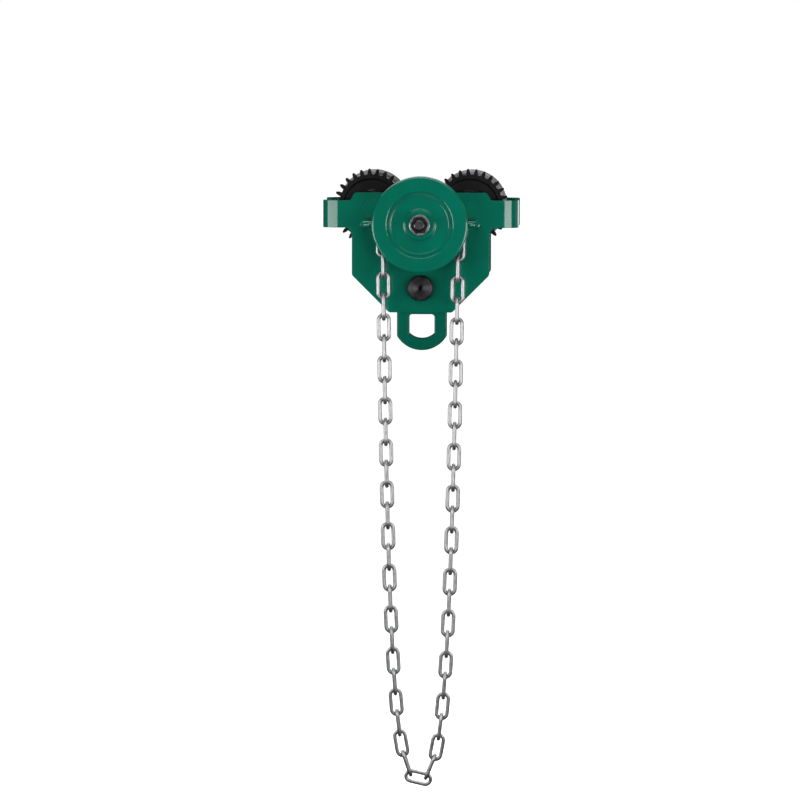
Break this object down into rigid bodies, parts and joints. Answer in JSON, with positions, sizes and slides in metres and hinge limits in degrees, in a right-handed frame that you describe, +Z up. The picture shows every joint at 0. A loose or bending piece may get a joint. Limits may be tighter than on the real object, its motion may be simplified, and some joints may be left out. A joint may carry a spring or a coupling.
{
  "type": "geared beam trolley",
  "caption": "Hand-chain driven beam trolley: two side plates on four wheels run on an I-beam's lower flange and carry a swinging hanger plate with a hook eye.",
  "frame": {"origin": "on the running surface of the beam's lower flange, midway between the four wheels, in the beam's centre plane", "axes": "+X along the beam, +Z up, the driven side with the hand wheel at -Y"},
  "size_m": [0.226, 0.2308, 0.7098],
  "materials": {
    "green_paint": "glossy green paint",
    "green_paint_pin": "glossy green paint on the end that lies flush in the plate, bare ground steel elsewhere",
    "black_cast_steel": "black satin, on cast steel",
    "bearing_steel": "ground bearing steel",
    "cage_steel": "pressed steel",
    "spring_steel": "phosphated spring steel",
    "zinc_chain": "bright zinc-plated round wire",
    "black_oxide_steel": "black oxide, oiled",
    "dark_steel": "dark plated hexagon nuts",
    "zinc_steel": "zinc plated",
    "spacer_steel": "drawn tube, oiled",
    "bronze": "sintered bronze, oiled",
    "shaft_steel": "turned and ground steel"
  },
  "bodies": {
    "frame": {"axle_circlips": "spring_steel", "axle_pin_front_left": "green_paint_pin", "axle_pin_front_right": "green_paint_pin", "axle_pin_rear_left": "green_paint_pin", "axle_pin_rear_right": "green_paint_pin", "bearing_inner_ring_front_left": "bearing_steel", "bearing_inner_ring_front_right": "bearing_steel", "bearing_inner_ring_rear_left": "bearing_steel", "bearing_inner_ring_rear_right": "bearing_steel", "chain_guide_left": "green_paint", "chain_guide_right": "green_paint", "hand_chain_on_wheel": "zinc_chain", "hanger_nut": "dark_steel", "hanger_shaft": "black_oxide_steel", "housing_screws": "zinc_steel", "outer_washers": "zinc_steel", "shaft_bush_inner": "bronze", "shaft_bush_outer": "bronze", "shaft_housing": "black_cast_steel", "side_plate_front": "green_paint", "side_plate_rear": "green_paint", "spacer_tube_front": "spacer_steel", "spacer_tube_rear": "spacer_steel", "spacer_washers_front": "zinc_steel", "spacer_washers_rear": "zinc_steel", "split_pin": "zinc_steel"},
    "drive": {"pinion_shaft": "shaft_steel", "shaft_key": "shaft_steel", "hand_wheel": "green_paint", "wheel_washer": "zinc_steel", "spring_washer": "zinc_steel", "wheel_nut": "dark_steel"},
    "front_wheel_left": {"geared_wheel_left": "black_cast_steel", "bearing_outer_ring_front_left": "bearing_steel", "bearing_shields_front_left": "bearing_steel", "wheel_circlip_front_left": "spring_steel"},
    "front_wheel_right": {"geared_wheel_right": "black_cast_steel", "bearing_outer_ring_front_right": "bearing_steel", "bearing_shields_front_right": "bearing_steel", "wheel_circlip_front_right": "spring_steel"},
    "rear_wheel_left": {"plain_wheel_left": "black_cast_steel", "bearing_outer_ring_rear_left": "bearing_steel", "bearing_shields_rear_left": "bearing_steel", "wheel_circlip_rear_left": "spring_steel"},
    "rear_wheel_right": {"plain_wheel_right": "black_cast_steel", "bearing_outer_ring_rear_right": "bearing_steel", "bearing_shields_rear_right": "bearing_steel", "wheel_circlip_rear_right": "spring_steel"},
    "hanger": {"hanger_plate": "green_paint"},
    "chain_upper": {"hand_chain_upper": "zinc_chain"},
    "chain_middle": {"hand_chain_middle": "zinc_chain"},
    "chain_lower": {"hand_chain_lower": "zinc_chain"},
    "ball_row_front_left": {"bearing_balls_front_left": "bearing_steel", "bearing_cage_front_left": "cage_steel"},
    "ball_row_front_right": {"bearing_balls_front_right": "bearing_steel", "bearing_cage_front_right": "cage_steel"},
    "ball_row_rear_left": {"bearing_balls_rear_left": "bearing_steel", "bearing_cage_rear_left": "cage_steel"},
    "ball_row_rear_right": {"bearing_balls_rear_right": "bearing_steel", "bearing_cage_rear_right": "cage_steel"}
  },
  "joints": [
    {"name": "drive_shaft_spin", "type": "hinge", "parent": "frame", "child": "drive", "pos_m": [0, 0, 0.01627], "axis": [0, -1, 0], "continuous": true},
    {"name": "front_left_wheel_spin", "type": "hinge", "parent": "frame", "child": "front_wheel_left", "pos_m": [-0.057, 0, 0.035], "axis": [0, -1, 0], "continuous": true},
    {"name": "front_right_wheel_spin", "type": "hinge", "parent": "frame", "child": "front_wheel_right", "pos_m": [0.057, 0, 0.035], "axis": [0, -1, 0], "continuous": true},
    {"name": "rear_left_wheel_spin", "type": "hinge", "parent": "frame", "child": "rear_wheel_left", "pos_m": [-0.057, 0, 0.035], "axis": [0, -1, 0], "continuous": true},
    {"name": "rear_right_wheel_spin", "type": "hinge", "parent": "frame", "child": "rear_wheel_right", "pos_m": [0.057, 0, 0.035], "axis": [0, -1, 0], "continuous": true},
    {"name": "front_left_ball_row_spin", "type": "hinge", "parent": "frame", "child": "ball_row_front_left", "pos_m": [-0.057, 0, 0.035], "axis": [0, -1, 0], "continuous": true},
    {"name": "front_right_ball_row_spin", "type": "hinge", "parent": "frame", "child": "ball_row_front_right", "pos_m": [0.057, 0, 0.035], "axis": [0, -1, 0], "continuous": true},
    {"name": "rear_left_ball_row_spin", "type": "hinge", "parent": "frame", "child": "ball_row_rear_left", "pos_m": [-0.057, 0, 0.035], "axis": [0, -1, 0], "continuous": true},
    {"name": "rear_right_ball_row_spin", "type": "hinge", "parent": "frame", "child": "ball_row_rear_right", "pos_m": [0.057, 0, 0.035], "axis": [0, -1, 0], "continuous": true},
    {"name": "hanger_swing", "type": "hinge", "parent": "frame", "child": "hanger", "pos_m": [0, 0, -0.0578], "axis": [0, -1, 0], "range_deg": [-60, 60]},
    {"name": "chain_upper_swing", "type": "hinge", "parent": "frame", "child": "chain_upper", "pos_m": [0.00079, -0.098, -0.07009], "axis": [0.9986, 0, -0.0524], "range_deg": [-60, 45]},
    {"name": "chain_middle_swing", "type": "hinge", "parent": "chain_upper", "child": "chain_middle", "pos_m": [0.00077, -0.098, -0.26206], "axis": [0.9984, 0, -0.0574], "range_deg": [-45, 45]},
    {"name": "chain_lower_swing", "type": "hinge", "parent": "chain_middle", "child": "chain_lower", "pos_m": [0.00072, -0.098, -0.45394], "axis": [0.9976, 0, -0.0689], "range_deg": [-45, 45]}
  ],
  "couplings": [
    {"joint": "front_left_wheel_spin", "follows": "drive_shaft_spin", "ratio": -0.42857},
    {"joint": "front_right_wheel_spin", "follows": "drive_shaft_spin", "ratio": -0.42857},
    {"joint": "front_left_ball_row_spin", "follows": "drive_shaft_spin", "ratio": -0.26506},
    {"joint": "front_right_ball_row_spin", "follows": "drive_shaft_spin", "ratio": -0.26506},
    {"joint": "rear_left_ball_row_spin", "follows": "rear_left_wheel_spin", "ratio": 0.61848},
    {"joint": "rear_right_ball_row_spin", "follows": "rear_right_wheel_spin", "ratio": 0.61848}
  ]
}
